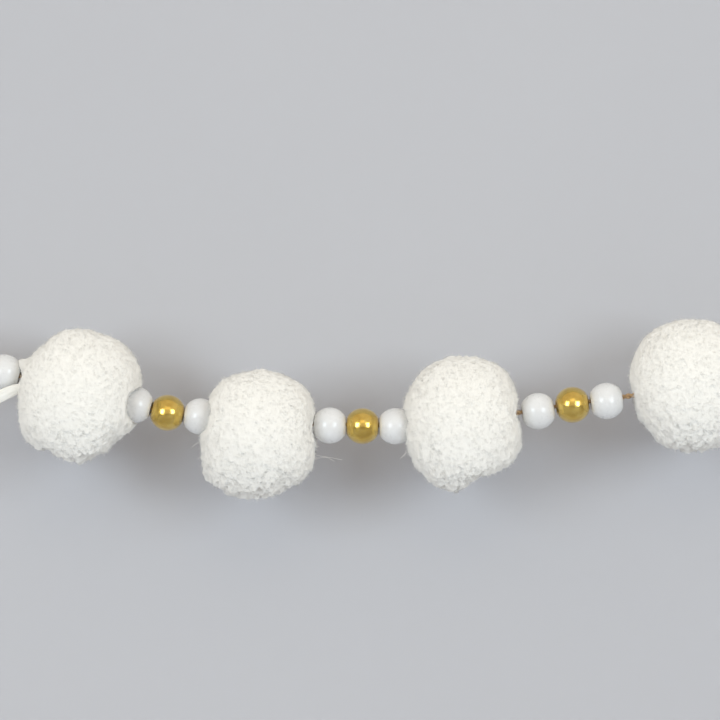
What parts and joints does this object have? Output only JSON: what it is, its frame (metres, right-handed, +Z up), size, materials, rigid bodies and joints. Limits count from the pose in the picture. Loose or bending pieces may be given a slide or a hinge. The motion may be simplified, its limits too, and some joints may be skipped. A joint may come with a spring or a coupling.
{
  "type": "pom-pom garland",
  "caption": "Shallow swag of white yarn pompoms with white and gold wooden beads between them on jute twine, with a knotted hanging loop at each end.",
  "frame": {"origin": "centre of the garland's bounding box", "axes": "+X along the garland to the right as seen from the front, +Y back towards the wall it hangs on, +Z up"},
  "size_m": [0.456, 0.0565, 0.0857],
  "materials": {
    "jute": "two-ply jute twine",
    "white_paint": "gloss white paint on wood",
    "gold_paint": "metallic gold paint on wood",
    "yarn": "cut wool yarn"
  },
  "bodies": {
    "root": {"twine": "jute", "bead_white_1": "white_paint", "bead_gold_1": "gold_paint", "bead_white_2": "white_paint", "bead_white_3": "white_paint", "bead_gold_2": "gold_paint", "bead_white_4": "white_paint", "bead_white_5": "white_paint", "bead_gold_3": "gold_paint", "bead_white_6": "white_paint", "bead_white_7": "white_paint", "bead_gold_4": "gold_paint", "bead_white_8": "white_paint", "bead_white_9": "white_paint", "bead_gold_5": "gold_paint", "bead_white_10": "white_paint", "pompom_1": "yarn", "pompom_2": "yarn", "pompom_3": "yarn", "pompom_4": "yarn", "stray_lock": "yarn"}
  },
  "joints": []
}
